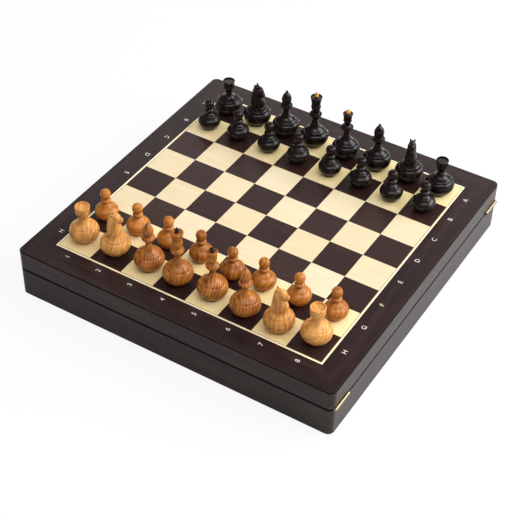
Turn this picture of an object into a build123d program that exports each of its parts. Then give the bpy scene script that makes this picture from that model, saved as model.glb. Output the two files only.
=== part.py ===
from build123d import *
from math import atan, cos, degrees, pi, sqrt
import os

# Chess box: a shallow wooden box with a hinged lid whose top is the board, and the 32 turned men that
# stand on it. Millimetres. The origin is the middle of the underside, +Z is up, -Y is the front (the
# side of the figures 1 to 8) and +X is the hinged side.

# ---- board ----
SQUARE = 45.0
SQUARES = 8
STRING_WIDTH = 3.0  # pale strip round the field
BORDER_WIDTH = 33.0  # from the strip to the lid's side
VENEER = 1.0
PANEL_THICKNESS = 4.5

# ---- case ----
CORNER_RADIUS = 8.0
WALL = 12.0
BASE_HEIGHT = 39.0
LID_HEIGHT = 27.0
ARRIS = 0.8  # chamfer on the seam's and the top's outer edges
BOTTOM_THICKNESS = 5.0
BOTTOM_REBATE = 6.0  # how far the floor goes into the rails
LIP_WIDTH = 6.0  # ledge of the lid's rails that carries the board panel
LIP_THICKNESS = 2.5
FELT_THICKNESS = 1.0
FELT_INSET = 10.0
LINING_THICKNESS = 1.0
LINING_MARGIN = 0.5
DIVIDER_THICKNESS = 5.0
DIVIDER_DROP = 1.0  # dividers stay this far below the rim

# ---- hinges ----
HINGE_LENGTH = 30.0
HINGE_END = 5.0  # from the box's corner to the hinge's end
KNUCKLES = 3
KNUCKLE_RADIUS = 2.2
KNUCKLE_GAP = 0.2
BARREL_STANDOFF = 0.6  # the pin's axis stands this far outside the face
BARREL_ROOM = 0.3
LEAF_WIDTH = 8.0
LEAF_THICKNESS = 1.2
PIN_RADIUS = 0.9
PIN_FIT = 0.05

# ---- catch magnets ----
MAGNET_LENGTH = 15.0
MAGNET_WIDTH = 6.0
MAGNET_THICKNESS = 3.0
MAGNET_ROOM = 0.1
MAGNET_SPACING = 300.0

# ---- men ----
TURNED_SIDES = 12  # a man is turned with this many flats, to keep 32 of them light
PAWN_SIDES = 10
FINIAL_SIDES = 8
SWELL_STEPS = 4  # bands of a bulb or a head
FOOT_HEIGHT = 1.2
MAN_FOOT_RADIUS = 10.0
MAN_BULB_RADIUS = 18.2
MAN_BULB_MIDDLE = 13.5
MAN_BULB_HALF_HEIGHT = 14.0
MAN_BULB_TOP = 21.8
LEDGE_HEIGHT = 0.8  # step on top of a bulb, which a dome rises from
DOME_RADIUS = 13.2
NECK_RADIUS = 3.6
NECK_HEIGHT = 36.5
COLLAR_RADIUS = 8.2
COLLAR_BEVEL = 2.4
PAWN_FOOT_RADIUS = 8.0
PAWN_BULB_RADIUS = 14.7
PAWN_BULB_MIDDLE = 11.5
PAWN_BULB_HALF_HEIGHT = 12.0
PAWN_BULB_TOP = 17.6
PAWN_DOME_RADIUS = 8.8
PAWN_DOME_HEIGHT = 20.2
PAWN_NECK_RADIUS = 3.7
PAWN_NECK_HEIGHT = 23.6
PAWN_BEAD_RADIUS = 6.2
PAWN_BEAD_HEIGHT = 28.4
PAWN_HEAD_RADIUS = 6.4
PAWN_HEAD_MIDDLE = 37.4
ROOK_NECK_RADIUS = 5.0
ROOK_NECK_HEIGHT = 33.0
ROOK_HEIGHT = 51.0
LIGHT_ROOK_HEAD_RADIUS = 9.1
DARK_ROOK_HEAD_RADIUS = 7.9
ROOK_CUP_WALL = 1.8
ROOK_CUP_DEPTH = 2.0
BISHOP_COLLAR_HEIGHT = 45.5
BISHOP_HEAD_RADIUS = 5.9
BISHOP_HEAD_MIDDLE = 55.5
BISHOP_HEIGHT = 68.5
KING_COLLAR_HEIGHT = 48.0
KING_BODY_RADIUS = 6.3
KING_CROWN_HEIGHT = 75.0
KING_CROWN_RADIUS = 7.7
KING_FINIAL_RADIUS = 2.8
KING_FINIAL_HEIGHT = 9.7
QUEEN_COLLAR_HEIGHT = 46.5
QUEEN_BODY_RADIUS = 5.5
QUEEN_CROWN_HEIGHT = 68.0
QUEEN_CROWN_RADIUS = 6.5
QUEEN_FINIAL_RADIUS = 3.3
QUEEN_FINIAL_HEIGHT = 6.3
CROWN_DISH_WALL = 1.4
CROWN_DISH_DEPTH = 1.2
KNIGHT_PLINTH_HEIGHT = 28.0
KNIGHT_PLINTH_RADIUS = 8.6
KNIGHT_HEIGHT = 61.0
LIGHT_KNIGHT_HEADINGS = (50.0, 20.0)
DARK_KNIGHT_HEADINGS = (-80.0, -70.0)

# How far each man stands off the middle of its square, to the right and to the back, as a hand left
# them: the ranks from column 0 to column 7.
LIGHT_BACK_RANK_OFF = ((-3, 2), (-3, 3), (1, 3), (-2, 1), (0, 2), (1, -1), (1, -2), (1, 4))
LIGHT_PAWNS_OFF = ((-4, 3), (-1, 2), (-1, 2), (0, 2), (2, -3), (-3, 1), (-1, 1), (1, 3))
DARK_BACK_RANK_OFF = ((2, 0), (2, 0), (1, 0), (-1, 1), (1, 0), (1, 1), (2, 2), (1, -1))
DARK_PAWNS_OFF = ((-1, 2), (-1, 2), (1, 2), (0, 2), (2, 2), (1, 2), (1, 0), (0, 2))

# ---- worked out from the sizes above ----
FIELD = SQUARE * SQUARES
PANEL = FIELD + 2 * STRING_WIDTH
OUTER = PANEL + 2 * BORDER_WIDTH
INNER = OUTER - 2 * WALL
BASE_Z = FELT_THICKNESS
SEAM_Z = BASE_Z + BASE_HEIGHT
BOARD_Z = SEAM_Z + LID_HEIGHT
PANEL_Z = BOARD_Z - VENEER - PANEL_THICKNESS
LIP_Z = PANEL_Z - LIP_THICKNESS
FLOOR_Z = BASE_Z + BOTTOM_THICKNESS
DIVIDER_HEIGHT = SEAM_Z - DIVIDER_DROP - FLOOR_Z
BAY = (INNER - DIVIDER_THICKNESS) / 2
BARREL_X = OUTER / 2 + BARREL_STANDOFF
LEAF_EDGE_X = BARREL_X - KNUCKLE_RADIUS - BARREL_ROOM
HINGE_Y = OUTER / 2 - HINGE_END - HINGE_LENGTH / 2
KNUCKLE_LENGTH = (HINGE_LENGTH - (KNUCKLES - 1) * KNUCKLE_GAP) / KNUCKLES
MAGNET_X = -(OUTER - WALL) / 2
SIDES = {"right": 0, "back": 90, "left": 180, "front": 270}
HINGES = {"near": -HINGE_Y, "far": HINGE_Y}
MAGNET_PLACES = [(MAGNET_X, end * MAGNET_SPACING / 2) for end in (-1, 1)]

os.makedirs("parts", exist_ok=True)


def keep(part, name):
    """Label a finished piece and write it."""
    part.label = name
    export_step(part, f"parts/{name}.step")


# ---------------------------------------------------------------- case


def mitred(frame, turn):
    """The quarter of a square frame that lies on one side, cut at 45 degrees at both ends."""
    with BuildPart() as quarter:
        add(frame)
        with BuildSketch(Plane.XY.rotated((0, 0, turn))):
            with BuildLine():
                Polyline((0, 0), (OUTER, -OUTER), (OUTER, OUTER), close=True)
            make_face()
        extrude(amount=BOARD_Z, mode=Mode.INTERSECT)
    return quarter.part


def cut_seam_fittings(upward):
    """Cut the hinge recesses and magnet pockets into the frame being built.

    The base takes them downward from the seam and the lid upward.
    """
    toward = 1 if upward else -1
    recess_width = BARREL_X - LEAF_EDGE_X + LEAF_WIDTH
    recess_x = BARREL_X - recess_width / 2
    for y in HINGES.values():
        with Locations((recess_x, y, SEAM_Z + toward * LEAF_THICKNESS / 2)):
            Box(recess_width, HINGE_LENGTH, LEAF_THICKNESS, mode=Mode.SUBTRACT)
        with Locations(Location((BARREL_X, y, SEAM_Z), (90, 0, 0))):
            Cylinder(KNUCKLE_RADIUS + BARREL_ROOM, HINGE_LENGTH, mode=Mode.SUBTRACT)
    with Locations(*[(x, y, SEAM_Z + toward * MAGNET_THICKNESS / 2) for x, y in MAGNET_PLACES]):
        pocket = (MAGNET_WIDTH + 2 * MAGNET_ROOM, MAGNET_LENGTH + 2 * MAGNET_ROOM)
        Box(*pocket, MAGNET_THICKNESS, mode=Mode.SUBTRACT)


with BuildPart() as base_frame:
    with BuildSketch(Plane.XY.offset(BASE_Z)):
        RectangleRounded(OUTER, OUTER, CORNER_RADIUS)
        Rectangle(INNER, INNER, mode=Mode.SUBTRACT)
    extrude(amount=BASE_HEIGHT)
    chamfer(base_frame.faces().sort_by(Axis.Z)[-1].outer_wire().edges(), ARRIS)
    with BuildSketch(Plane.XY.offset(BASE_Z)):
        Rectangle(INNER + 2 * BOTTOM_REBATE, INNER + 2 * BOTTOM_REBATE)
    extrude(amount=BOTTOM_THICKNESS, mode=Mode.SUBTRACT)
    cut_seam_fittings(upward=False)

# The lid's rails are L-shaped: a wall, a flange that is the board's border, and a lip for the panel.
with BuildPart() as lid_frame:
    with BuildSketch(Plane.XY.offset(SEAM_Z)):
        RectangleRounded(OUTER, OUTER, CORNER_RADIUS)
        Rectangle(INNER, INNER, mode=Mode.SUBTRACT)
    extrude(amount=LID_HEIGHT)
    with BuildSketch(Plane.XY.offset(LIP_Z)):
        Rectangle(INNER, INNER)
        Rectangle(PANEL, PANEL, mode=Mode.SUBTRACT)
    extrude(amount=BOARD_Z - LIP_Z)
    with BuildSketch(Plane.XY.offset(LIP_Z)):
        Rectangle(PANEL, PANEL)
        Rectangle(PANEL - 2 * LIP_WIDTH, PANEL - 2 * LIP_WIDTH, mode=Mode.SUBTRACT)
    extrude(amount=LIP_THICKNESS)
    chamfer(lid_frame.faces().sort_by(Axis.Z)[0].outer_wire().edges(), ARRIS)
    chamfer(lid_frame.faces().sort_by(Axis.Z)[-1].outer_wire().edges(), ARRIS)
    cut_seam_fittings(upward=True)

for side, turn in SIDES.items():
    keep(mitred(base_frame.part, turn), f"base_{side}_rail")
    keep(mitred(lid_frame.part, turn), f"lid_{side}_rail")

with BuildPart() as bottom_panel:
    with BuildSketch(Plane.XY.offset(BASE_Z)):
        Rectangle(INNER + 2 * BOTTOM_REBATE, INNER + 2 * BOTTOM_REBATE)
    extrude(amount=BOTTOM_THICKNESS)
keep(bottom_panel.part, "bottom_panel")

with BuildPart() as base_felt:
    with BuildSketch():
        RectangleRounded(OUTER - 2 * FELT_INSET, OUTER - 2 * FELT_INSET, CORNER_RADIUS)
    extrude(amount=FELT_THICKNESS)
keep(base_felt.part, "base_felt")

# The dividers are halved into each other where they cross: the long one is open above, the other below.
with BuildPart() as long_divider:
    with BuildSketch(Plane.XY.offset(FLOOR_Z)):
        Rectangle(INNER, DIVIDER_THICKNESS)
    extrude(amount=DIVIDER_HEIGHT)
    with BuildSketch(Plane.XY.offset(FLOOR_Z + DIVIDER_HEIGHT / 2)):
        Rectangle(DIVIDER_THICKNESS, DIVIDER_THICKNESS)
    extrude(amount=DIVIDER_HEIGHT / 2, mode=Mode.SUBTRACT)
keep(long_divider.part, "long_divider")

with BuildPart() as cross_divider:
    with BuildSketch(Plane.XY.offset(FLOOR_Z)):
        Rectangle(DIVIDER_THICKNESS, INNER)
    extrude(amount=DIVIDER_HEIGHT)
    with BuildSketch(Plane.XY.offset(FLOOR_Z)):
        Rectangle(DIVIDER_THICKNESS, DIVIDER_THICKNESS)
    extrude(amount=DIVIDER_HEIGHT / 2, mode=Mode.SUBTRACT)
keep(cross_divider.part, "cross_divider")

with BuildPart() as base_lining:
    with BuildSketch(Plane.XY.offset(FLOOR_Z)):
        with GridLocations(BAY + DIVIDER_THICKNESS, BAY + DIVIDER_THICKNESS, 2, 2):
            Rectangle(BAY - 2 * LINING_MARGIN, BAY - 2 * LINING_MARGIN)
    extrude(amount=LINING_THICKNESS)
keep(base_lining.part, "base_lining")

# ---------------------------------------------------------------- board

with BuildPart() as board_panel:
    with BuildSketch(Plane.XY.offset(PANEL_Z)):
        Rectangle(PANEL, PANEL)
    extrude(amount=PANEL_THICKNESS)
keep(board_panel.part, "board_panel")

with BuildPart() as string_frame:
    with BuildSketch(Plane.XY.offset(BOARD_Z - VENEER)):
        Rectangle(PANEL, PANEL)
        Rectangle(FIELD, FIELD, mode=Mode.SUBTRACT)
    extrude(amount=VENEER)
stringing = Compound(children=[mitred(string_frame.part, turn) for turn in SIDES.values()])
keep(stringing, "stringing")

with BuildPart() as lid_lining:
    with BuildSketch(Plane.XY.offset(PANEL_Z - LINING_THICKNESS)):
        lining_size = PANEL - 2 * LIP_WIDTH - 2 * LINING_MARGIN
        Rectangle(lining_size, lining_size)
    extrude(amount=LINING_THICKNESS)
keep(lid_lining.part, "lid_lining")


def square_middle(column, row):
    """Middle of a square: column 0 is the figure 1 and row 0 is the front row, the letter H."""
    return ((column - (SQUARES - 1) / 2) * SQUARE, (row - (SQUARES - 1) / 2) * SQUARE)


# The front left square is a light one.
for name, parity in (("light_squares", 0), ("dark_squares", 1)):
    cells = [(c, r) for c in range(SQUARES) for r in range(SQUARES) if (c + r) % 2 == parity]
    tiles = []
    for column, row in cells:
        x, y = square_middle(column, row)
        with BuildPart() as tile:
            with BuildSketch(Plane((x, y, BOARD_Z - VENEER))):
                Rectangle(SQUARE, SQUARE)
            extrude(amount=VENEER)
        tiles.append(tile.part)
    keep(Compound(children=tiles), name)

# ---------------------------------------------------------------- hinges and catches


def hinge_leaf(y, upward, knuckles):
    """One leaf of a butt hinge let into the seam, with the knuckles that belong to it."""
    plate_z = SEAM_Z if upward else SEAM_Z - LEAF_THICKNESS
    first = y - (HINGE_LENGTH - KNUCKLE_LENGTH) / 2
    middles = [first + k * (KNUCKLE_LENGTH + KNUCKLE_GAP) for k in knuckles]
    neck = BARREL_X - LEAF_EDGE_X
    with BuildPart() as leaf:
        with BuildSketch(Plane.XY.offset(plate_z)):
            with Locations((LEAF_EDGE_X - LEAF_WIDTH / 2, y)):
                Rectangle(LEAF_WIDTH, HINGE_LENGTH)
            with Locations(*[(LEAF_EDGE_X + neck / 2, m) for m in middles]):
                Rectangle(neck, KNUCKLE_LENGTH)
        extrude(amount=LEAF_THICKNESS)
        with Locations(*[Location((BARREL_X, m, SEAM_Z), (90, 0, 0)) for m in middles]):
            Cylinder(KNUCKLE_RADIUS, KNUCKLE_LENGTH)
        with Locations(Location((BARREL_X, y, SEAM_Z), (90, 0, 0))):
            Cylinder(PIN_RADIUS + PIN_FIT, HINGE_LENGTH, mode=Mode.SUBTRACT)
    return leaf.part


def magnets(upward):
    """Bar magnets flush with the seam, opposite the hinges."""
    toward = 1 if upward else -1
    with BuildPart() as pair:
        with Locations(*[(x, y, SEAM_Z + toward * MAGNET_THICKNESS / 2) for x, y in MAGNET_PLACES]):
            Box(MAGNET_WIDTH, MAGNET_LENGTH, MAGNET_THICKNESS)
    return pair.part


base_knuckles = range(0, KNUCKLES, 2)
lid_knuckles = range(1, KNUCKLES, 2)
for end, y in HINGES.items():
    keep(hinge_leaf(y, False, base_knuckles), f"{end}_hinge_base_leaf")
    keep(hinge_leaf(y, True, lid_knuckles), f"{end}_hinge_lid_leaf")
    with BuildPart() as pin:
        with Locations(Location((BARREL_X, y, SEAM_Z), (90, 0, 0))):
            Cylinder(PIN_RADIUS, HINGE_LENGTH)
    keep(pin.part, f"{end}_hinge_pin")

keep(magnets(upward=False), "base_magnets")
keep(magnets(upward=True), "lid_magnets")

# ---------------------------------------------------------------- men


def swell(radius, middle, half_height, low, high):
    """Rings of a bulb: an upright ellipse of revolution between two heights."""
    rings = []
    for step in range(SWELL_STEPS + 1):
        height = low + (high - low) * step / SWELL_STEPS
        rings.append((radius * sqrt(1 - ((height - middle) / half_height) ** 2), height))
    return rings


def turned(rings, sides=TURNED_SIDES, dish_radius=0.0, dish_depth=0.0):
    """A turned man through rings of (radius, height), with an optional sunk top.

    Each band tapers upward from its wider ring, and a band that widens is mirrored into its place.
    """
    with BuildPart() as man:
        for (low_radius, low), (high_radius, high) in zip(rings, rings[1:]):
            widens = high_radius > low_radius
            narrowing = abs(low_radius - high_radius) * cos(pi / sides)
            with BuildSketch(Plane.XY.offset(-high if widens else low)):
                RegularPolygon(max(low_radius, high_radius), sides)
            slope = degrees(atan(narrowing / (high - low)))
            band = extrude(amount=high - low, taper=slope, mode=Mode.PRIVATE)
            if widens:
                mirror(band, about=Plane.XY)
            else:
                add(band)
        if dish_depth:
            with BuildSketch(Plane.XY.offset(rings[-1][1])):
                RegularPolygon(dish_radius, sides)
            extrude(amount=-dish_depth, mode=Mode.SUBTRACT)
    return man.part


def bulb_rings():
    """Foot, bulb and ledge that all men but the pawns share."""
    foot = [(MAN_FOOT_RADIUS, 0), (MAN_FOOT_RADIUS, FOOT_HEIGHT)]
    bulb = swell(MAN_BULB_RADIUS, MAN_BULB_MIDDLE, MAN_BULB_HALF_HEIGHT, 1.6 * FOOT_HEIGHT, MAN_BULB_TOP)
    return foot + bulb + [(DOME_RADIUS, MAN_BULB_TOP + LEDGE_HEIGHT)]


def dome_rings(neck_radius, neck_height):
    """Dome that sweeps in from the ledge to a neck."""
    start = MAN_BULB_TOP + LEDGE_HEIGHT
    rise = neck_height - start
    return [
        (0.85 * DOME_RADIUS, start + 0.2 * rise),
        (neck_radius + 0.2 * (DOME_RADIUS - neck_radius), start + 0.65 * rise),
        (neck_radius, neck_height),
    ]


def collar_rings(height):
    """Dome, neck and bell-shaped collar of a bishop, king or queen."""
    collar = [(COLLAR_RADIUS, height), (COLLAR_RADIUS - COLLAR_BEVEL, height + COLLAR_BEVEL)]
    return dome_rings(NECK_RADIUS, NECK_HEIGHT) + collar


pawn_bulb = swell(
    PAWN_BULB_RADIUS, PAWN_BULB_MIDDLE, PAWN_BULB_HALF_HEIGHT, 1.6 * FOOT_HEIGHT, PAWN_BULB_TOP
)
pawn_head = swell(
    PAWN_HEAD_RADIUS,
    PAWN_HEAD_MIDDLE,
    PAWN_HEAD_RADIUS,
    PAWN_HEAD_MIDDLE - 0.8 * PAWN_HEAD_RADIUS,
    PAWN_HEAD_MIDDLE + 0.95 * PAWN_HEAD_RADIUS,
)
pawn = turned(
    [(PAWN_FOOT_RADIUS, 0), (PAWN_FOOT_RADIUS, FOOT_HEIGHT)]
    + pawn_bulb
    + [(PAWN_DOME_RADIUS, PAWN_DOME_HEIGHT), (PAWN_NECK_RADIUS, PAWN_NECK_HEIGHT)]
    + [(PAWN_BEAD_RADIUS, PAWN_BEAD_HEIGHT)]
    + pawn_head,
    PAWN_SIDES,
)


def rook(head_radius):
    """Rook with a cup-shaped head."""
    head_rise = ROOK_HEIGHT - ROOK_NECK_HEIGHT
    return turned(
        bulb_rings()
        + dome_rings(ROOK_NECK_RADIUS, ROOK_NECK_HEIGHT)
        + [(0.82 * head_radius, ROOK_NECK_HEIGHT + 0.3 * head_rise)]
        + [(0.97 * head_radius, ROOK_NECK_HEIGHT + 0.6 * head_rise), (head_radius, ROOK_HEIGHT)],
        dish_radius=head_radius - ROOK_CUP_WALL,
        dish_depth=ROOK_CUP_DEPTH,
    )


# The bishop's head is an ogive that ends in a small bud.
ogive = BISHOP_HEIGHT - BISHOP_HEAD_MIDDLE
bishop = turned(
    bulb_rings()
    + collar_rings(BISHOP_COLLAR_HEIGHT)
    + [(0.8 * BISHOP_HEAD_RADIUS, BISHOP_HEAD_MIDDLE - 0.45 * ogive), (BISHOP_HEAD_RADIUS, BISHOP_HEAD_MIDDLE)]
    + [(0.78 * BISHOP_HEAD_RADIUS, BISHOP_HEAD_MIDDLE + 0.38 * ogive)]
    + [(0.3 * BISHOP_HEAD_RADIUS, BISHOP_HEAD_MIDDLE + 0.72 * ogive)]
    + [(0.15 * BISHOP_HEAD_RADIUS, BISHOP_HEIGHT)]
)

king_rise = KING_CROWN_HEIGHT - KING_COLLAR_HEIGHT
king = turned(
    bulb_rings()
    + collar_rings(KING_COLLAR_HEIGHT)
    + [(0.78 * KING_BODY_RADIUS, KING_COLLAR_HEIGHT + 0.17 * king_rise)]
    + [(KING_BODY_RADIUS, KING_COLLAR_HEIGHT + 0.45 * king_rise)]
    + [(0.9 * KING_BODY_RADIUS, KING_COLLAR_HEIGHT + 0.57 * king_rise)]
    + [(KING_CROWN_RADIUS, KING_CROWN_HEIGHT - 1.0), (0.93 * KING_CROWN_RADIUS, KING_CROWN_HEIGHT)],
    dish_radius=KING_CROWN_RADIUS - CROWN_DISH_WALL,
    dish_depth=CROWN_DISH_DEPTH,
)

queen_rise = QUEEN_CROWN_HEIGHT - QUEEN_COLLAR_HEIGHT
queen = turned(
    bulb_rings()
    + collar_rings(QUEEN_COLLAR_HEIGHT)
    + [(0.7 * QUEEN_BODY_RADIUS, QUEEN_COLLAR_HEIGHT + 0.27 * queen_rise)]
    + [(QUEEN_BODY_RADIUS, QUEEN_COLLAR_HEIGHT + 0.5 * queen_rise)]
    + [(QUEEN_CROWN_RADIUS, QUEEN_CROWN_HEIGHT - 1.0), (0.93 * QUEEN_CROWN_RADIUS, QUEEN_CROWN_HEIGHT)],
    dish_radius=QUEEN_CROWN_RADIUS - CROWN_DISH_WALL,
    dish_depth=CROWN_DISH_DEPTH,
)


def finial(radius, height, crown_height):
    """Ball that stands in a crown's dish and runs out to a point."""
    seat = crown_height - CROWN_DISH_DEPTH
    middle = seat + 0.9 * radius
    ball = swell(radius, middle, radius, seat, middle + 0.8 * radius)
    return turned(ball + [(0.1 * radius, seat + height)], FINIAL_SIDES)


king_finial = finial(KING_FINIAL_RADIUS, KING_FINIAL_HEIGHT, KING_CROWN_HEIGHT)
queen_finial = finial(QUEEN_FINIAL_RADIUS, QUEEN_FINIAL_HEIGHT, QUEEN_CROWN_HEIGHT)

# The knight is a horse's head on the common bulb, looking along +X: the outline from the side, narrowed
# to the outline from the front. Both are drawn in parts of the head's height above the plinth.
HEAD = KNIGHT_HEIGHT - KNIGHT_PLINTH_HEIGHT


def head_outline(*points):
    """Points of an outline of the horse's head, given across and up in parts of its height."""
    return [(across * HEAD, KNIGHT_PLINTH_HEIGHT + up * HEAD) for across, up in points]


neck_and_ear = head_outline((-0.24, 0), (-0.25, 0.15), (-0.205, 0.42), (-0.155, 0.7), (-0.08, 1))
face = head_outline((-0.08, 1), (0, 0.92), (0.11, 0.88), (0.265, 0.79), (0.365, 0.65), (0.335, 0.51))
throat_and_chest = head_outline((0.335, 0.51), (0.195, 0.46), (0.085, 0.43), (0.195, 0.35), (0.275, 0.21), (0.25, 0))
with BuildPart() as horse_head:
    with BuildSketch(Plane.XZ):
        with BuildLine():
            Polyline(*neck_and_ear)
            Polyline(*face)
            Polyline(*throat_and_chest)
            Line(throat_and_chest[-1], neck_and_ear[0])
        make_face()
    extrude(amount=KNIGHT_PLINTH_RADIUS, both=True)
    right_side = head_outline((0.255, 0), (0.225, 0.25), (0.19, 0.45), (0.155, 0.7), (0.12, 0.85), (0.09, 1))
    with BuildSketch(Plane.YZ):
        with BuildLine():
            Polyline(*right_side)
            Polyline(*[(-across, up) for across, up in right_side])
            Line(right_side[0], (-right_side[0][0], right_side[0][1]))
            Line(right_side[-1], (-right_side[-1][0], right_side[-1][1]))
        make_face()
    extrude(amount=2 * KNIGHT_PLINTH_RADIUS, both=True, mode=Mode.INTERSECT)

plinth = [(1.1 * KNIGHT_PLINTH_RADIUS, 0.94 * KNIGHT_PLINTH_HEIGHT), (KNIGHT_PLINTH_RADIUS, KNIGHT_PLINTH_HEIGHT)]
with BuildPart() as knight:
    add(turned(bulb_rings() + plinth))
    add(horse_head.part)


def stand(man, row, columns, off, headings=(0, 0)):
    """Copies of a man on squares of one row, each off its square's middle and turned to its heading."""
    copies = []
    for column, heading in zip(columns, headings * len(columns)):
        x, y = square_middle(column, row)
        off_x, off_y = off[column]
        copies.append(man.moved(Location((x + off_x, y + off_y, BOARD_Z), (0, 0, heading))))
    return copies[0] if len(copies) == 1 else Compound(children=copies)


# Both sets stand with the rooks on columns 0 and 7, and king faces king.
ARMIES = {
    "light": (0, 1, LIGHT_BACK_RANK_OFF, LIGHT_PAWNS_OFF, LIGHT_ROOK_HEAD_RADIUS, LIGHT_KNIGHT_HEADINGS),
    "dark": (
        SQUARES - 1,
        SQUARES - 2,
        DARK_BACK_RANK_OFF,
        DARK_PAWNS_OFF,
        DARK_ROOK_HEAD_RADIUS,
        DARK_KNIGHT_HEADINGS,
    ),
}
for army, (back_row, pawn_row, back_off, pawns_off, head_radius, headings) in ARMIES.items():
    keep(stand(pawn, pawn_row, range(SQUARES), pawns_off), f"{army}_pawns")
    keep(stand(rook(head_radius), back_row, (0, 7), back_off), f"{army}_rooks")
    keep(stand(knight.part, back_row, (1, 6), back_off, headings), f"{army}_knights")
    keep(stand(bishop, back_row, (2, 5), back_off), f"{army}_bishops")
    keep(stand(king, back_row, (3,), back_off), f"{army}_king")
    keep(stand(king_finial, back_row, (3,), back_off), f"{army}_king_finial")
    keep(stand(queen, back_row, (4,), back_off), f"{army}_queen")
    keep(stand(queen_finial, back_row, (4,), back_off), f"{army}_queen_finial")
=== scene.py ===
# Chess box with its turned men: finishes, border signs, screw heads and smooth turned forms on the case.
import math

import bmesh
import bpy
from mathutils import Matrix, Vector


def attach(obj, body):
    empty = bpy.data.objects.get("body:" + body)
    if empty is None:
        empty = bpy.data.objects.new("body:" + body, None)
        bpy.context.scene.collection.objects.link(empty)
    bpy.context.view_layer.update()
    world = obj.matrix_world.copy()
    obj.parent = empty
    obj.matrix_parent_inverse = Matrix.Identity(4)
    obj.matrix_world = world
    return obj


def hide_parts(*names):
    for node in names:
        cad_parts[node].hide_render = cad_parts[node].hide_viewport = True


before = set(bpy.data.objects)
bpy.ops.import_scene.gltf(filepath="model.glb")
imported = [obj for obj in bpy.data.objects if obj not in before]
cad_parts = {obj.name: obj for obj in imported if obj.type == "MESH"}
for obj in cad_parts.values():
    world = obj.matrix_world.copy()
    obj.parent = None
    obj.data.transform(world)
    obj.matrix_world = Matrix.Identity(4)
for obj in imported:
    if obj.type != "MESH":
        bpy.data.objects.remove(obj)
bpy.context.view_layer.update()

# ---------------------------------------------------------------- sizes, in millimetres

MM = 0.001
SQUARE = 45.0
FIELD = 8 * SQUARE
BOARD_Z = 67.0
SEAM_Z = 40.0
STRING_LINE = 0.7  # thin dark line between the squares and the pale strip
SEAM_SHADE = 1.7  # how far the painted shade of the seam reaches above and below it
TOP_EDGE_SHADE = (0.7, 0.6)  # how far the middle of the painted shade band along the top edge lies under the board, and its half height
PAINTED_WARM_LIGHT_ROWS = (1.8 * SQUARE, 2.4 * SQUARE)  # from the board's middle, where the painted warm shade and reflected light of the men on the end rows sets in
PAINTED_WARM_LIGHT_SHARE = 0.5
GRAIN_TILT = 1.35  # radians between the least and the most tilted growth layers of the men
RING_SCALE = 0.314  # scale of the wave pattern at which its rings lie one unit apart

# ---------------------------------------------------------------- helpers


def linear(hex_colour):
    """Linear RGBA of an sRGB hex colour such as '#C68B4C'."""
    channels = [int(hex_colour[i : i + 2], 16) / 255 for i in (1, 3, 5)]
    return (*[c / 12.92 if c <= 0.04045 else ((c + 0.055) / 1.055) ** 2.4 for c in channels], 1.0)


def add_node(tree, kind, inputs=None, stops=(), **settings):
    """Add a shader node with its settings; inputs hold values or other nodes' output sockets, and stops
    are the (position, hex colour) pairs of a ramp."""
    node = tree.nodes.new(kind)
    for name, value in settings.items():
        setattr(node, name, value)
    for socket, value in (inputs or {}).items():
        if isinstance(value, bpy.types.NodeSocket):
            tree.links.new(value, node.inputs[socket])
        else:
            node.inputs[socket].default_value = value
    for i, (position, colour) in enumerate(stops):
        element = node.color_ramp.elements[i] if i < 2 else node.color_ramp.elements.new(position)
        element.position = position
        element.color = linear(colour)
    return node


def new_material(name):
    """An empty node material, its tree and the piece's own coordinates."""
    made = bpy.data.materials.new(name)
    made.use_nodes = True
    made.node_tree.nodes.clear()
    place = add_node(made.node_tree, "ShaderNodeTexCoord").outputs["Object"]
    return made, made.node_tree, place


def fibres(tree, place, across_mm, along_mm, axis, detail=3.0):
    """Noise drawn out along one axis, as fibres or slow bands of wood are."""
    scale = [1 / (across_mm * MM)] * 3
    scale[axis] = 1 / (along_mm * MM)
    stretched = add_node(tree, "ShaderNodeMapping", {"Vector": place, "Scale": scale})
    noise = add_node(
        tree, "ShaderNodeTexNoise", {"Vector": stretched.outputs["Vector"], "Scale": 1.0, "Detail": detail}
    )
    return noise.outputs["Fac"]


def layered(tree, share, first, second):
    """Two patterns of one wood laid over each other."""
    mix = add_node(tree, "ShaderNodeMix", {"Factor": share, "A": first, "B": second}, data_type="FLOAT")
    return mix.outputs["Result"]


def piece_of_wood(tree, place):
    """A number for each square's own leaf of veneer or man, and coordinates that start elsewhere in it."""
    squares = (1 / (SQUARE * MM),) * 3
    scaled = add_node(tree, "ShaderNodeVectorMath", {0: place, 1: squares}, operation="MULTIPLY")
    cell = add_node(tree, "ShaderNodeVectorMath", {0: scaled.outputs["Vector"]}, operation="FLOOR")
    parts = add_node(tree, "ShaderNodeSeparateXYZ", {"Vector": cell.outputs["Vector"]})
    flat = add_node(tree, "ShaderNodeCombineXYZ", {"X": parts.outputs["X"], "Y": parts.outputs["Y"]})
    number = add_node(
        tree, "ShaderNodeTexWhiteNoise", {"Vector": flat.outputs["Vector"]}, noise_dimensions="3D"
    )
    shift = add_node(
        tree, "ShaderNodeVectorMath", {0: number.outputs["Color"], 1: (0.7, 0.7, 0.3)}, operation="MULTIPLY"
    )
    moved = add_node(tree, "ShaderNodeVectorMath", {0: place, 1: shift.outputs["Vector"]}, operation="ADD")
    return number.outputs["Value"], moved.outputs["Vector"]


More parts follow.
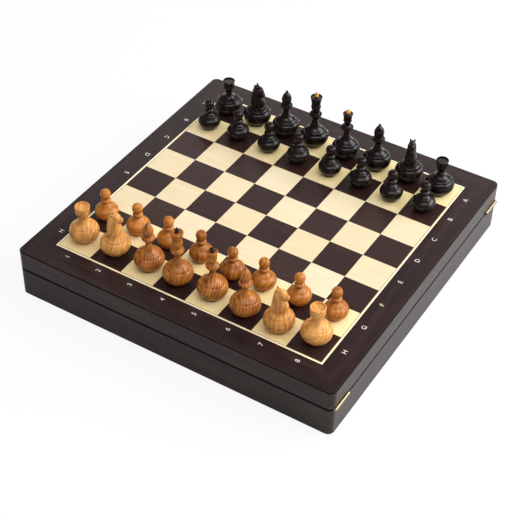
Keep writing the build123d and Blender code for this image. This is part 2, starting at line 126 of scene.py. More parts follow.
def finish_surface(tree, tones, factor, shader, relief=None, relief_mm=0.0, tint=None):
    """Surface whose colour runs through its tones by a factor, with relief from a pattern; a tint is the
    share of it and its hex colour."""
    sockets = dict(shader)
    colour = add_node(tree, "ShaderNodeValToRGB", {"Fac": factor}, stops=tones).outputs["Color"]
    if tint is not None:
        colour = add_node(
            tree,
            "ShaderNodeMix",
            {"Factor": tint[0], "A": colour, "B": linear(tint[1])},
            data_type="RGBA",
        ).outputs["Result"]
    sockets["Base Color"] = colour
    if relief is not None:
        bump = add_node(
            tree, "ShaderNodeBump", {"Height": relief, "Strength": 1.0, "Distance": relief_mm * MM}
        )
        sockets["Normal"] = bump.outputs["Normal"]
    surface = add_node(tree, "ShaderNodeBsdfPrincipled", sockets)
    add_node(tree, "ShaderNodeOutputMaterial", {"Surface": surface.outputs["BSDF"]})


# ---------------------------------------------------------------- finishes

SATIN = {"Roughness": 0.32, "IOR": 1.45, "Specular IOR Level": 0.25}
OILED = {"Roughness": 0.33, "IOR": 1.45, "Specular IOR Level": 0.4}
LACQUERED = {"Roughness": 0.27, "IOR": 1.5, "Specular IOR Level": 0.33}


def rail_wood(name, along):
    """Dark brown open-pored wood in satin lacquer: fine darker pores run along the rail in slow bands of tone.
    Bands along the seam and just under the top edge are painted shade, nearly black and rougher. Real pores are
    finer than these, which are drawn coarser so that they show."""
    made, tree, place = new_material(name)
    pores = fibres(tree, place, 0.6, 30.0, along)
    grain = layered(tree, 0.45, pores, fibres(tree, place, 7.0, 140.0, along, 2.0))
    height = add_node(tree, "ShaderNodeSeparateXYZ", {"Vector": place}).outputs["Z"]
    # Painted shade: bands along the seam and just under the top edge pull the tone down to the near-black first
    # stop and make it rougher.
    seam = add_node(
        tree, "ShaderNodeMath", {0: height, 1: SEAM_Z * MM, 2: SEAM_SHADE * MM}, operation="COMPARE"
    ).outputs["Value"]
    below, half_height = TOP_EDGE_SHADE
    edge = add_node(
        tree,
        "ShaderNodeMath",
        {0: height, 1: (BOARD_Z - below) * MM, 2: half_height * MM},
        operation="COMPARE",
    ).outputs["Value"]
    arris_shade = add_node(tree, "ShaderNodeMath", {0: seam, 1: edge}, operation="MAXIMUM").outputs["Value"]
    toned = add_node(tree, "ShaderNodeMath", {0: arris_shade, 1: -1.0, 2: grain}, operation="MULTIPLY_ADD")
    dulled = add_node(
        tree, "ShaderNodeMath", {0: arris_shade, 1: 0.6, 2: SATIN["Roughness"]}, operation="MULTIPLY_ADD"
    )
    finish_surface(
        tree,
        [(0.0, "#050303"), (0.7, "#3A2926"), (0.3, "#1B1111"), (0.5, "#291C1B")],
        toned.outputs["Value"],
        {**SATIN, "Roughness": dulled.outputs["Value"]},
        pores,
        0.03,
    )
    return made


def square_veneer(name, tones, painted_warm_light):
    """Veneer squares cut from different leaves: each has its own tone and its own straight grain, drawn coarser
    than the real one so that it shows. The two rows at each end, under the men, are tinted with painted warm
    shade and reflected light of the men."""
    made, tree, place = new_material(name)
    number, moved = piece_of_wood(tree, place)
    fine, slow = fibres(tree, moved, 0.8, 28.0, 0), fibres(tree, moved, 5.0, 90.0, 0, 2.0)
    grain = layered(tree, 0.5, fine, slow)
    toned = add_node(tree, "ShaderNodeMath", {0: number, 1: 0.3, 2: grain}, operation="MULTIPLY_ADD")
    depth = add_node(tree, "ShaderNodeSeparateXYZ", {"Vector": place}).outputs["Y"]
    out = add_node(tree, "ShaderNodeMath", {0: depth}, operation="ABSOLUTE").outputs["Value"]
    # Painted warm shade and reflected light of the men: the tint grows over the two end rows at each side.
    painted_light_share = add_node(
        tree,
        "ShaderNodeMapRange",
        {"Value": out, "From Min": PAINTED_WARM_LIGHT_ROWS[0] * MM, "From Max": PAINTED_WARM_LIGHT_ROWS[1] * MM, "To Max": PAINTED_WARM_LIGHT_SHARE},
        interpolation_type="SMOOTHSTEP",
    )
    tint = (painted_light_share.outputs["Result"], painted_warm_light)
    finish_surface(tree, tones, toned.outputs["Value"], SATIN, grain, 0.01, tint)
    return made


def strip_wood(name, tones):
    """Pale strip whose last tone is the thin dark line along its inner edge."""
    made, tree, place = new_material(name)
    parts = add_node(tree, "ShaderNodeSeparateXYZ", {"Vector": place})
    off_x = add_node(tree, "ShaderNodeMath", {0: parts.outputs["X"]}, operation="ABSOLUTE")
    off_y = add_node(tree, "ShaderNodeMath", {0: parts.outputs["Y"]}, operation="ABSOLUTE")
    out = add_node(
        tree, "ShaderNodeMath", {0: off_x.outputs["Value"], 1: off_y.outputs["Value"]}, operation="MAXIMUM"
    )
    line = add_node(
        tree,
        "ShaderNodeMath",
        {0: out.outputs["Value"], 1: (FIELD / 2 + STRING_LINE) * MM},
        operation="LESS_THAN",
    )
    flecks = fibres(tree, place, 1.0, 1.0, 2)
    toned = add_node(
        tree, "ShaderNodeMath", {0: flecks, 1: 0.5, 2: line.outputs["Value"]}, operation="MULTIPLY_ADD"
    )
    finish_surface(tree, tones, toned.outputs["Value"], SATIN)
    return made


def turned_wood(name, tones, shader, spread, ring_mm, swirl, relief_mm):
    """Wood turned across its growth layers, which lie at another tilt in each man: lines run up the sides
    of one and in arcs over the shoulders of the next, and each has a tone of his own. Real growth layers
    are finer than these, which are drawn coarser so that they show."""
    made, tree, place = new_material(name)
    number, moved = piece_of_wood(tree, place)
    angle = add_node(tree, "ShaderNodeMath", {0: number, 1: GRAIN_TILT}, operation="MULTIPLY")
    turned = add_node(
        tree,
        "ShaderNodeVectorRotate",
        {"Vector": moved, "Axis": (0.78, -0.62, 0.0), "Angle": angle.outputs["Value"]},
        rotation_type="AXIS_ANGLE",
    )
    wood = turned.outputs["Vector"]
    layers = add_node(
        tree,
        "ShaderNodeMapping",
        {"Vector": wood, "Rotation": (0.1, 0.2, -0.9), "Scale": (1 / MM, 1 / MM, 0.4 / MM)},
    )
    rings = add_node(
        tree,
        "ShaderNodeTexWave",
        {
            "Vector": layers.outputs["Vector"],
            "Scale": RING_SCALE / ring_mm,
            "Distortion": swirl,
            "Detail": 2.0,
            "Detail Scale": 0.9,
        },
        bands_direction="X",
    )
    streaks = fibres(tree, wood, 0.5, 14.0, 2)
    fine = layered(tree, 0.66, rings.outputs["Fac"], streaks)
    grain = layered(tree, 0.5, fine, fibres(tree, wood, 9.0, 22.0, 2, 2.0))
    toned = add_node(tree, "ShaderNodeMath", {0: number, 1: spread, 2: grain}, operation="MULTIPLY_ADD")
    finish_surface(tree, tones, toned.outputs["Value"], shader, streaks, relief_mm)
    return made


def sheet_finish(name, tones, shader, grit_mm, run_mm, relief_mm):
    """Plain sheet or metal with one grit or grain in it. The grit of metal, felt and enamel is drawn
    coarser than the real one, which is too fine to show."""
    made, tree, place = new_material(name)
    grit = fibres(tree, place, grit_mm, run_mm, 0, 2.0)
    finish_surface(tree, tones, grit, shader, grit, relief_mm)
    return made


# Wenge rails in satin lacquer: near-black brown, with fine lines that run along each rail, and painted shade
# along the seam and the top edge.
rails_wenge = [rail_wood("wenge_rail_grain_along_x", 0), rail_wood("wenge_rail_grain_along_y", 1)]
# Maple veneer, satin: cream squares, each a little warmer or paler than the next; the yellow last colour is
# painted warm shade and reflected light of the men on the two end rows at each side.
maple_veneer = square_veneer(
    "maple_veneer_satin", [(0.3, "#D4BF96"), (1.0, "#E6D8BA"), (0.65, "#DDCCAA")], "#FFE598"
)
# Smoked oak veneer, satin: dark brown squares, a little redder than the border; the last colour is painted warm
# shade and reflected light of the men on the two end rows at each side.
smoked_veneer = square_veneer(
    "smoked_oak_veneer_satin", [(0.3, "#261716"), (1.0, "#3E2C28"), (0.65, "#32211F")], "#2C1B18"
)
# Maple stringing with a thin dark line inside it: frames the squares brightly.
maple_strip = strip_wood(
    "maple_stringing_satin", [(0.1, "#F1DDB4"), (1.0, "#7A6344"), (0.4, "#FBEED0"), (0.6, "#FBEED0")]
)
# Pear wood, turned and oiled: warm brown streaks under a soft shine, a new tone on each man.
pear_turned = turned_wood(
    "oiled_pear_turned",
    [(0.25, "#4E2507"), (1.05, "#D69448"), (0.47, "#93541A"), (0.75, "#BA752E")],
    OILED,
    spread=0.2,
    ring_mm=5.2,
    swirl=12.0,
    relief_mm=0.01,
)
# The palest pear, oiled: honey-coloured rooks and knights, and the small finials of the dark king and queen.
pear_pale = turned_wood(
    "oiled_pear_pale_turned",
    [(0.2, "#7E491A"), (1.0, "#F0BD76"), (0.42, "#B57838"), (0.68, "#DFA258")],
    OILED,
    spread=0.15,
    ring_mm=5.6,
    swirl=12.0,
    relief_mm=0.01,
)
# Pear cut where its growth lines are dark, oiled: plainly striped bishops and queen.
pear_striped = turned_wood(
    "oiled_pear_striped_turned",
    [(0.28, "#401E08"), (0.9, "#DC9C50"), (0.45, "#84491A"), (0.65, "#B9722E")],
    OILED,
    spread=0.12,
    ring_mm=3.0,
    swirl=5.0,
    relief_mm=0.01,
)
# Maple, turned and lacquered black: near black with one soft arc of light on each bulb.
black_turned = turned_wood(
    "black_lacquered_maple_turned",
    [(0.2, "#080303"), (1.05, "#1B0F0E")],
    LACQUERED,
    spread=0.35,
    ring_mm=2.6,
    swirl=5.0,
    relief_mm=0.001,
)
# Aged brass: dull brown metal whose round barrels carry one thin pale line of light.
brass = sheet_finish(
    "brass_aged", [(0.3, "#89795D"), (0.7, "#A6967A")], {"Metallic": 1.0, "Roughness": 0.24}, 0.4, 3.0, 0.002
)
# Painted shade of the screws' slots: a nearly black stripe across each head, flush with it, where no slot is
# cut.
slot_painted_shade = sheet_finish(
    "screw_slot_painted_shade", [(0.3, "#1A120B"), (0.7, "#2A1E13")], {"Roughness": 0.8}, 0.3, 0.3, 0.0
)
# Nickel-plated magnets: cool grey metal.
NICKEL = {"Metallic": 1.0, "Roughness": 0.35}
nickel = sheet_finish(
    "magnet_nickel_plated", [(0.3, "#A6A8AB"), (0.7, "#BFC1C4")], NICKEL, 0.4, 0.4, 0.002
)
# Wool baize: matt green with a soft nap.
NAPPED = {"Roughness": 0.95, "Sheen Weight": 0.4}
baize = sheet_finish("baize_felt_green", [(0.3, "#17391F"), (0.7, "#234F2E")], NAPPED, 0.6, 0.6, 0.15)
# Birch plywood, sanded and bare: pale with long quiet grain.
BARE = {"Roughness": 0.65, "IOR": 1.45}
birch_plywood = sheet_finish(
    "birch_plywood_bare", [(0.3, "#C9A063"), (0.7, "#DDBB82")], BARE, 1.2, 60.0, 0.02
)
# Letter enamel: thin cream strokes on the dark border.
EGGSHELL = {"Roughness": 0.5, "IOR": 1.45}
enamel = sheet_finish(
    "letter_enamel_cream", [(0.3, "#E3D9CC"), (0.7, "#EFE6DA")], EGGSHELL, 0.6, 0.6, 0.0
)

FINISHES = {
    "light_squares": maple_veneer,
    "dark_squares": smoked_veneer,
    "stringing": maple_strip,
    "board_panel": birch_plywood,
    "bottom_panel": birch_plywood,
    "long_divider": birch_plywood,
    "cross_divider": birch_plywood,
    "base_felt": baize,
    "base_lining": baize,
    "lid_lining": baize,
    "base_magnets": nickel,
    "lid_magnets": nickel,
}
for level in ("base", "lid"):
    for side, axis in (("front", 0), ("right", 1), ("back", 0), ("left", 1)):
        FINISHES[f"{level}_{side}_rail"] = rails_wenge[axis]
for end in ("near", "far"):
    for metal in ("base_leaf", "lid_leaf", "pin"):
        FINISHES[f"{end}_hinge_{metal}"] = brass
for node, finish in FINISHES.items():
    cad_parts[node].material_slots[0].material = finish

# ---------------------------------------------------------------- making and placing pieces


SHARP_EDGE = 32.0  # degrees between two faces from which their edge is drawn crisp


def settle(name, work, finish, body, slot, *nodes):
    """Make a piece of finished mesh work, ride it on its body and let it stand for CAD nodes."""
    bmesh.ops.remove_doubles(work, verts=work.verts, dist=1e-6)
    bmesh.ops.recalc_face_normals(work, faces=work.faces)
    mesh = bpy.data.meshes.new(name)
    work.to_mesh(mesh)
    work.free()
    mesh.shade_smooth()
    mesh.set_sharp_from_angle(angle=math.radians(SHARP_EDGE))
    mesh.materials.append(finish)
    piece = bpy.data.objects.new(name, mesh)
    bpy.context.scene.collection.objects.link(piece)
    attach(piece, body)
    if nodes:
        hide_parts(*nodes)
    return piece


def smooth_run(stations, per_span=4):
    """Stations of a smooth run through the given ones, which are rows of numbers."""
    made = [stations[0]]
    last = len(stations) - 1
    for i in range(last):
        before, after = stations[max(i - 1, 0)], stations[min(i + 2, last)]
        for step in range(1, per_span + 1):
            t = step / per_span
            row = zip(before, stations[i], stations[i + 1], after)
            made.append(
                tuple(
                    0.5
                    * (
                        2 * q
                        + (r - p) * t
                        + (2 * p - 5 * q + 4 * r - s) * t**2
                        + (3 * q - p - 3 * r + s) * t**3
                    )
                    for p, q, r, s in row
                )
            )
    return made


def lathe(runs, steps=56):
    """Turned form of runs of (radius, height): each run is smooth, its ends are crisp."""
    work = bmesh.new()
    outline = [runs[0][0]]
    for run in runs:
        outline += smooth_run(run)[1:] if len(run) > 2 else run[1:]
    verts = [work.verts.new(Vector((max(r, 0.0), 0, z)) * MM) for r, z in outline]
    edges = [work.edges.new(pair) for pair in zip(verts, verts[1:])]
    bmesh.ops.spin(
        work, geom=verts + edges, cent=(0, 0, 0), axis=(0, 0, 1), angle=math.tau, steps=steps, use_merge=True
    )
    form = bpy.data.meshes.new("turned_form")
    work.to_mesh(form)
    work.free()
    return form


def set_out(work, form, places):
    """Add a copy of a form to mesh work at each place."""
    for place in places:
        copy = form.copy()
        copy.transform(place)
        work.from_mesh(copy)
        bpy.data.meshes.remove(copy)


def stands(node):
    """Middle of the foot of each man of a CAD node, from the left."""
    feet = {}
    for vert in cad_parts[node].data.vertices:
        if abs(vert.co.z - BOARD_Z * MM) < 1e-5:
            cell = math.floor(vert.co.x / (SQUARE * MM))
            feet.setdefault(cell, set()).add(tuple(round(c, 6) for c in vert.co))
    return [sum(map(Vector, feet[cell]), Vector((0, 0, 0))) / len(feet[cell]) for cell in sorted(feet)]


# ---------------------------------------------------------------- outlines of the men: (radius, height)

BULB = [
    [(0, 0), (10.0, 0)],
    [(10.0, 0), (10.4, 0.7), (10.0, 1.4)],
    [(10.0, 1.4), (13.9, 4.4), (17.0, 8.4), (18.3, 13.0), (17.9, 17.0), (16.2, 20.4), (14.6, 22.0)],
    [(14.6, 22.0), (13.3, 22.1)],
    [(13.3, 22.1), (13.1, 22.9)],
]


def dome(neck_radius, neck_height):
    """Dome that sweeps in from the bulb's ledge to a neck."""
    reach, rise = 13.1 - neck_radius, neck_height - 22.9
    sweep = ((0, 0), (0.13, 0.1), (0.38, 0.21), (0.64, 0.37), (0.83, 0.57), (0.95, 0.8), (1, 1))
    return [[(13.1 - reach * inward, 22.9 + rise * up) for inward, up in sweep]]


def collar(height):
    """Neck and bell-shaped collar whose widest ring stands at a height."""
    bell = ((3.6, -8.5), (3.9, -5.2), (5.4, -3.4), (7.5, -1.6), (8.2, 0.3), (7.6, 1.5))
    return [[(r, height + z) for r, z in bell], [(7.6, height + 1.5), (6.2, height + 2.1), (4.9, height + 3.0)]]


def cup_rim(radius, height, wall, depth):
    """Rounded rim and sunk top of a rook, king or queen."""
    inside = radius - wall
    return [
        [(radius, height - 0.5), (radius - 0.5, height)],
        [(radius - 0.5, height), (inside + 0.3, height)],
        [(inside + 0.3, height), (inside - 0.3, height - depth)],
        [(inside - 0.3, height - depth), (0, height - depth)],
    ]


PAWN_BULB = [(8.0, 1.3), (11.4, 4.0), (13.8, 7.6), (14.8, 11.5), (14.2, 14.8), (12.4, 17.4), (10.2, 19.2)]
PAWN_HEAD = [(4.7, 30.3), (4.2, 31.1), (4.9, 32.4), (6.1, 35.0), (6.45, 37.8), (5.8, 40.7), (4.2, 42.7)]
PAWN = [
    [(0, 0), (8.0, 0)],
    [(8.0, 0), (8.4, 0.6), (8.0, 1.3)],
    [*PAWN_BULB, (9.2, 19.8)],
    [(9.2, 19.8), (8.5, 19.9)],
    [(8.5, 19.9), (7.6, 21.0), (5.6, 22.3), (4.1, 23.8), (3.7, 25.4)],
    [(3.7, 25.4), (5.3, 26.4), (6.2, 27.7), (6.0, 29.2), (4.7, 30.3)],
    [*PAWN_HEAD, (2.0, 43.6), (0, 43.8)],
]
LIGHT_ROOK = [
    *BULB,
    *dome(5.0, 33.0),
    [(5.0, 33.0), (5.2, 35.0), (6.8, 37.2), (8.4, 40.0), (9.0, 44.0), (8.9, 47.6), (9.2, 50.5)],
    *cup_rim(9.2, 51.0, 1.6, 2.0),
]
DARK_ROOK = [
    *BULB,
    *dome(4.1, 33.0),
    [(4.1, 33.0), (4.1, 35.0), (4.9, 37.2), (5.6, 38.2)],
    [(5.6, 38.2), (6.2, 39.6), (6.9, 43.5), (7.5, 47.5), (7.9, 50.5)],
    *cup_rim(7.9, 51.0, 1.2, 1.6),
]
BISHOP = [
    *BULB,
    *dome(3.6, 37.0),
    *collar(45.5),
    [(4.9, 48.5), (4.9, 49.1), (5.9, 51.6), (6.5, 54.9), (6.1, 58.4), (4.8, 61.6), (2.9, 64.3), (1.3, 65.9)],
    [(1.3, 65.9), (1.65, 66.9), (1.2, 68.0), (0, 68.4)],
]
KING = [
    *BULB,
    *dome(3.6, 39.5),
    *collar(48.0),
    [(4.9, 51.0), (4.8, 52.8), (5.6, 56.0), (6.4, 59.4), (6.3, 61.0)],
    [(6.3, 61.0), (5.8, 62.6), (6.0, 65.5), (6.9, 70.4), (7.7, 74.5)],
    *cup_rim(7.7, 75.0, 1.4, 1.2),
]
QUEEN = [
    *BULB,
    *dome(3.6, 38.0),
    *collar(46.5),
    [(4.9, 49.5), (3.9, 51.0), (4.1, 53.2), (5.0, 55.6), (5.6, 57.2)],
    [(5.6, 57.2), (5.2, 58.8), (5.5, 62.6), (6.5, 67.5)],
    *cup_rim(6.5, 68.0, 1.2, 1.2),
]
KNIGHT_PLINTH = [
    *BULB,
    [(13.1, 22.9), (12.2, 24.2), (10.6, 25.2), (9.3, 25.8)],
    [(9.3, 25.8), (9.3, 26.6), (8.6, 27.6)],
    [(8.6, 27.6), (0, 28.0)],
]
KING_FINIAL = [
    [(0, 73.8), (1.5, 73.8)],
    [(1.5, 73.8), (2.5, 74.9), (2.8, 76.4), (2.2, 78.3), (1.2, 80.0), (0.5, 81.9), (0, 83.4)],
]
QUEEN_FINIAL = [
    [(0, 66.8), (1.6, 66.8)],
    [(1.6, 66.8), (2.8, 68.0), (3.3, 69.9), (2.8, 71.8), (1.5, 72.8), (0, 73.0)],
]

# ---------------------------------------------------------------- the knights' horses

# Stations are rows of: forward, height, half depth, half width. Those of the neck lie level; those of the
# head stand across a line from the poll down to the lips.
NECK = [
    (0.0, 27.4, 8.4, 8.2),
    (0.6, 31.0, 9.5, 7.9),
    (0.9, 35.0, 9.7, 7.4),
    (0.5, 39.0, 8.9, 6.8),
    (-0.7, 43.0, 7.4, 6.1),
    (-1.1, 47.0, 6.5, 5.7),
    (-1.1, 51.0, 5.9, 5.2),
    (-0.9, 55.0, 4.9, 4.5),
    (-1.0, 58.0, 3.2, 3.3),
    (-1.2, 59.4, 1.6, 1.8),
]
HEAD = [
    (-3.0, 55.4, 1.8, 2.2),
    (-1.2, 54.4, 4.4, 4.3),
    (1.0, 52.9, 6.0, 5.2),
    (3.0, 51.4, 6.3, 5.3),
    (4.9, 49.9, 5.3, 4.6),
    (6.6, 48.3, 4.4, 3.9),
    (8.1, 46.9, 3.9, 3.5),
    (9.3, 45.9, 3.1, 3.0),
    (10.0, 45.3, 1.4, 1.6),
]
HEAD_DROOP = 130.0  # degrees that the head's stations are tipped
MANE = [(-8.3, 33.0), (-8.1, 36.6), (-7.6, 40.2), (-7.0, 43.8), (-6.6, 47.4), (-6.0, 51.0), (-4.8, 54.4)]
HEADINGS = {"light": (50.0, 20.0), "dark": (-5.0, -68.0)}  # degrees from X of the left and the right knight


def rounded_form(work, forward, side, height, size, pitch=0.0, roll=0.0, segments=12):
    """Small rounded form with its half sizes along, across and up, tipped by pitch and roll in degrees."""
    place = (
        Matrix.Translation(Vector((forward, side, height)) * MM)
        @ Matrix.Rotation(math.radians(roll), 4, "X")
        @ Matrix.Rotation(math.radians(pitch), 4, "Y")
        @ Matrix.Diagonal((*[s * MM for s in size], 1))
    )
    bmesh.ops.create_uvsphere(work, u_segments=segments, v_segments=segments // 2, radius=1.0, matrix=place)


def skin_over(work, stations, lean, segments=24):
    """Skin over the elliptic stations of a neck or head, closed at both ends."""
    rings = []
    for forward, height, half_depth, half_width in smooth_run(stations, 3):
        place = (
            Matrix.Translation(Vector((forward, 0, height)) * MM)
            @ Matrix.Rotation(math.radians(lean), 4, "Y")
            @ Matrix.Diagonal((half_depth * MM, half_width * MM, 1, 1))
        )
        ring = bmesh.ops.create_circle(work, segments=segments, radius=1.0, matrix=place)["verts"]
        rings.append(list({edge for vert in ring for edge in vert.link_edges}))
    for low, high in zip(rings, rings[1:]):
        bmesh.ops.bridge_loops(work, edges=low + high)
    for end in (rings[0], rings[-1]):
        bmesh.ops.edgeloop_fill(work, edges=end)


def carve_horse():
    """Neck, head, ears, eyes and mane of a knight that looks along X."""
    work = bmesh.new()
    skin_over(work, NECK, 0)
    skin_over(work, HEAD, HEAD_DROOP)
    for side in (-1, 1):
        rounded_form(work, -2.6, side * 2.6, 59.0, (1.5, 1.1, 2.2), -24, -10 * side)
        rounded_form(work, 3.2, side * 4.8, 53.2, (1.2, 0.7, 0.9), 38)
        rounded_form(work, 3.0, side * 4.3, 54.6, (2.2, 1.2, 0.7), 38)
        rounded_form(work, 0.9, side * 4.3, 48.4, (3.0, 1.5, 3.2), 25)
        rounded_form(work, 8.9, side * 2.7, 47.2, (1.1, 0.9, 0.8), 38)
        for number, (forward, height) in enumerate(MANE):
            across = side * (3.6 - 0.3 * number)
            rounded_form(work, forward + 2.2, across, height, (3.4, 2.1, 1.5), 38, segments=10)
    for forward, height in MANE:
        rounded_form(work, forward + 0.7, 0, height, (1.8, 1.7, 2.3), 20, segments=10)
    rounded_form(work, 1.6, 0, 58.6, (3.0, 1.7, 1.3), 22)
    horse = bpy.data.meshes.new("carved_horse")
    work.to_mesh(horse)
    work.free()
    return horse


# ---------------------------------------------------------------- the two armies

# The wood of each kind; a kind that isn't named has the pawns' wood.
WOODS = {
    "light": {
        "pawns": pear_turned,
        "rooks": pear_pale,
        "knights": pear_pale,
        "bishops": pear_striped,
        "queen": pear_striped,
    },
    "dark": {"pawns": black_turned},
}
FINIAL_WOODS = {"light": black_turned, "dark": pear_pale}
FOOT_LIFT = Vector((0, 0, 0.02)) * MM  # keeps a man's foot and the veneer from sharing one surface
horse = carve_horse()
for army, rook, contrast in (("light", LIGHT_ROOK, "dark"), ("dark", DARK_ROOK, "light")):
    for kind, outline in (
        ("pawns", PAWN),
        ("rooks", rook),
        ("knights", KNIGHT_PLINTH),
        ("bishops", BISHOP),
        ("king", KING),
        ("queen", QUEEN),
    ):
        node = f"{army}_{kind}"
        feet = [Matrix.Translation(middle + FOOT_LIFT) for middle in stands(node)]
        work = bmesh.new()
        set_out(work, lathe(outline), feet)
        if kind == "knights":
            turns = [Matrix.Rotation(math.radians(heading), 4, "Z") for heading in HEADINGS[army]]
            set_out(work, horse, [foot @ turn for foot, turn in zip(feet, turns)])
        settle(f"turned_{node}", work, WOODS[army].get(kind, WOODS[army]["pawns"]), node, f"men_{army}", node)
    for kind, outline in (("king", KING_FINIAL), ("queen", QUEEN_FINIAL)):
        node = f"{army}_{kind}"
        work = bmesh.new()
        set_out(work, lathe(outline, 24), [Matrix.Translation(middle) for middle in stands(node)])
        settle(f"{node}_crown_finial", work, FINIAL_WOODS[army], node, f"men_{contrast}", f"{node}_finial")

# ---------------------------------------------------------------- hinge screws

HINGE_MIDDLE = 196.0  # of each hinge, along Y from the case's middle
SCREW_X = 210.1  # middle of a leaf
SCREW_PITCH = 18.0
SCREW_HEAD = (2.1, 0.01)  # radius, and how far it stands out of the leaf
SCREW_DEPTH = 1.0
# Width of the painted slot shade stripe; no slot is cut.
SCREW_SLOT = 0.6
SCREW_TURNS = (35, 100)  # degrees that the two slots of a leaf are turned


def hinge_screws(name, body, upward):
    """Tapered heads let into the faces of a body's two hinge leaves, each with a flush stripe of painted slot
    shade instead of a cut slot.
    """
    radius, proud = SCREW_HEAD
    work = bmesh.new()
    for hinge in (-HINGE_MIDDLE, HINGE_MIDDLE):
        for end, turn in zip((-0.5, 0.5), SCREW_TURNS):
            place = (
                Matrix.Translation(Vector((SCREW_X, hinge + end * SCREW_PITCH, SEAM_Z)) * MM)
                @ Matrix.Rotation(0 if upward else math.pi, 4, "X")
                @ Matrix.Rotation(math.radians(turn), 4, "Z")
            )
            head = bmesh.new()
            bmesh.ops.create_cone(
                head,
                cap_ends=True,
                segments=32,
                radius1=0.6 * radius * MM,
                radius2=radius * MM,
                depth=SCREW_DEPTH * MM,
                matrix=Matrix.Translation((0, 0, (proud - SCREW_DEPTH / 2) * MM)),
            )
            for side in (-1, 1):
                bmesh.ops.bisect_plane(
                    head,
                    geom=head.verts[:] + head.edges[:] + head.faces[:],
                    plane_co=(0, side * SCREW_SLOT / 2 * MM, 0),
                    plane_no=(0, 1, 0),
                )
            # The stripe across each head's top is painted shade of a slot, flush with the head.
            for face in head.faces:
                middle = face.calc_center_median()
                if abs(middle.y) < SCREW_SLOT / 2 * MM and middle.z > 0:
                    face.material_index = 1
            form = bpy.data.meshes.new("screw_head")
            head.to_mesh(form)
            head.free()
            set_out(work, form, [place])
    screws = settle(name, work, brass, body, "brass")
    screws.data.materials.append(slot_painted_shade)


hinge_screws("base_hinge_screws", "base", True)
hinge_screws("lid_hinge_screws", "lid", False)

# ---------------------------------------------------------------- letters and figures

LETTER_HEIGHT = 6.2
CAPITAL_SHARE = 0.73  # of the type's size that a capital is high
LETTER_THINNING = 0.04
LETTER_SKIN = 0.03  # half the thickness of the enamel
FIGURES_OUT, RIGHT_LETTERS_OUT, LEFT_LETTERS_OUT = 192.3, 194.4, 193.4  # from the board's middle
FIGURE_PLACES = (-158.6, -113.7, -68.5, -22.8, 21.1, 66.6, 110.1, 157.1)
RIGHT_LETTER_PLACES = (-152.8, -107.6, -64.2, -18.3, 25.9, 71.1, 115.9, 159.6)
LEFT_LETTER_PLACES = (-159.3, -113.0, -68.0, -24.7, 20.8, 65.7, 111.0, 157.0)


def border_signs(name, signs):
    """Flat signs on the border: each is a character, its middle and the way it is turned."""
    drawn = []
    for character, *_ in signs:
        text = bpy.data.curves.new(name, "FONT")
        text.body = character
        text.size = LETTER_HEIGHT * MM / CAPITAL_SHARE
        text.extrude = LETTER_SKIN * MM
        text.offset = -LETTER_THINNING * MM
        drawn.append(bpy.data.objects.new(name, text))
        bpy.context.scene.collection.objects.link(drawn[-1])
    depsgraph = bpy.context.evaluated_depsgraph_get()
    work = bmesh.new()
    for sign, (_, x, y, turn) in zip(drawn, signs):
        mesh = bpy.data.meshes.new_from_object(sign.evaluated_get(depsgraph))
        corners = [vert.co for vert in mesh.vertices]
        middle = [(min(c[i] for c in corners) + max(c[i] for c in corners)) / 2 for i in range(3)]
        mesh.transform(
            Matrix.Translation(Vector((x, y, BOARD_Z + LETTER_SKIN)) * MM)
            @ Matrix.Rotation(math.radians(turn), 4, "Z")
            @ Matrix.Translation(-Vector(middle))
        )
        work.from_mesh(mesh)
        bpy.data.meshes.remove(mesh)
    for sign in drawn:
        bpy.data.curves.remove(sign.data)
    settle(name, work, enamel, "lid", "stringing")


def signs_along_x(y, turn):
    """The figures of a border that runs along X."""
    return [(str(i + 1), x, y, turn) for i, x in enumerate(FIGURE_PLACES)]


def signs_along_y(x, places, turn):
    """The letters of a border that runs along Y."""
    return [(character, x, y, turn) for character, y in zip("HGFEDCBA", places)]


border_signs("front_border_figures", signs_along_x(-FIGURES_OUT, 90))
border_signs("back_border_figures", signs_along_x(FIGURES_OUT, -90))
border_signs("right_border_letters", signs_along_y(RIGHT_LETTERS_OUT, RIGHT_LETTER_PLACES, 90))
border_signs("left_border_letters", signs_along_y(-LEFT_LETTERS_OUT, LEFT_LETTER_PLACES, -90))

# ---------------------------------------------------------------- floor, light and camera


PAPER_SIZE = 40.0  # metres; the grid operator's size
CAMERA_WHITE = 0.88  # share of plain white in the paper as the camera sees it
MIRRORED_WHITE = 0.12  # the same in reflections
AIR_LIGHT = 0.2


def paper_sweep(name):
    """White paper: bright to the camera and in reflections, while it still takes the box's shadow."""
    made, tree, _ = new_material(name)
    path = add_node(tree, "ShaderNodeLightPath")
    mirrored = add_node(
        tree, "ShaderNodeMath", {0: path.outputs["Is Glossy Ray"], 1: MIRRORED_WHITE}, operation="MULTIPLY"
    )
    share = add_node(
        tree,
        "ShaderNodeMath",
        {0: path.outputs["Is Camera Ray"], 1: CAMERA_WHITE, 2: mirrored.outputs["Value"]},
        operation="MULTIPLY_ADD",
    )
    paper = add_node(tree, "ShaderNodeBsdfDiffuse", {"Color": linear("#E4E4E4")})
    white = add_node(tree, "ShaderNodeEmission", {"Color": linear("#FFFFFF"), "Strength": 1.0})
    mix = add_node(
        tree,
        "ShaderNodeMixShader",
        {0: share.outputs["Value"], 1: paper.outputs["BSDF"], 2: white.outputs["Emission"]},
    )
    add_node(tree, "ShaderNodeOutputMaterial", {"Surface": mix.outputs["Shader"]})
    return made


floor_work = bmesh.new()
bmesh.ops.create_grid(floor_work, x_segments=1, y_segments=1, size=PAPER_SIZE)
floor_mesh = bpy.data.meshes.new("paper_floor")
floor_work.to_mesh(floor_mesh)
floor_work.free()
floor_mesh.materials.append(paper_sweep("paper_sweep_white"))
paper_floor = bpy.data.objects.new("paper_floor", floor_mesh)
bpy.context.scene.collection.objects.link(paper_floor)

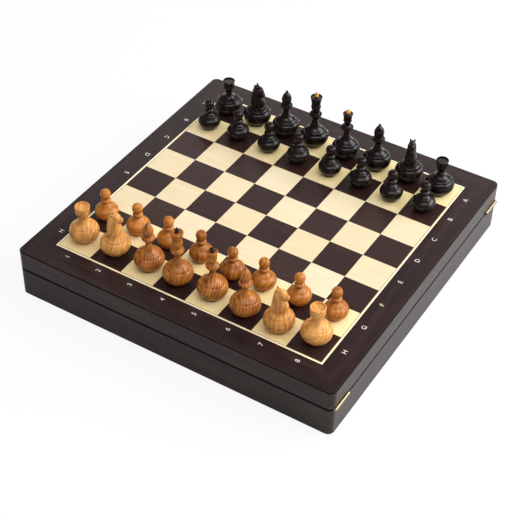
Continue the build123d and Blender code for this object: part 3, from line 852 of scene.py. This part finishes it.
world = bpy.data.worlds.new("dim_studio")
bpy.context.scene.world = world
world.use_nodes = True
world.node_tree.nodes.clear()
air_path = add_node(world.node_tree, "ShaderNodeLightPath")
air = add_node(
    world.node_tree,
    "ShaderNodeMix",
    {"Factor": air_path.outputs["Is Camera Ray"], "A": AIR_LIGHT, "B": 1.0},
    data_type="FLOAT",
)
sky = add_node(
    world.node_tree, "ShaderNodeBackground", {"Color": linear("#FFFFFF"), "Strength": air.outputs["Result"]}
)
add_node(world.node_tree, "ShaderNodeOutputWorld", {"Surface": sky.outputs["Background"]})


AIM = Vector((0, 0, 0.08))


def softbox(name, azimuth, elevation, distance, width, height, power):
    """Area lamp aimed at the case's middle from an azimuth (0 is the front, 90 the right) and an elevation,
    in degrees, metres and watts."""
    a, e = math.radians(azimuth), math.radians(elevation)
    away = Vector((math.sin(a) * math.cos(e), -math.cos(a) * math.cos(e), math.sin(e)))
    lamp = bpy.data.lights.new(name, "AREA")
    lamp.shape = "RECTANGLE"
    lamp.size = width
    lamp.size_y = height
    lamp.energy = power
    fitted = bpy.data.objects.new(name, lamp)
    bpy.context.scene.collection.objects.link(fitted)
    fitted.location = AIM + away * distance
    fitted.rotation_mode = "QUATERNION"
    fitted.rotation_quaternion = away.to_track_quat("Z", "Y")
    return fitted


softbox("overhead_softbox", 120, 80, 2.4, 3.0, 3.0, 32).visible_glossy = False
softbox("key_softbox", 40, 57, 2.6, 2.6, 0.45, 27)
softbox("back_right_softbox", 122, 30, 3.0, 3.2, 1.6, 115)
softbox("back_haze_softbox", 205, 31, 2.6, 2.4, 0.6, 8)

PHOTO_PIXELS = 516
FOCAL_PIXELS = 1334.6
SENSOR = 36.0
CAMERA_PLACE = (0.6362, -1.0845, 1.1258)
# Rows of the camera's turn: its right, up and back directions stand in the three columns.
CAMERA_TURN = ((0.851, -0.3614, 0.381), (0.5249, 0.5625, -0.6388), (0.0165, 0.7436, 0.6684))
camera_data = bpy.data.cameras.new("photo_camera")
camera_data.sensor_width = SENSOR
camera_data.lens = SENSOR * FOCAL_PIXELS / PHOTO_PIXELS
camera = bpy.data.objects.new("photo_camera", camera_data)
bpy.context.scene.collection.objects.link(camera)
camera.matrix_world = Matrix.Translation(CAMERA_PLACE) @ Matrix(CAMERA_TURN).to_4x4()
bpy.context.scene.camera = camera
bpy.context.scene.view_settings.view_transform = "Standard"
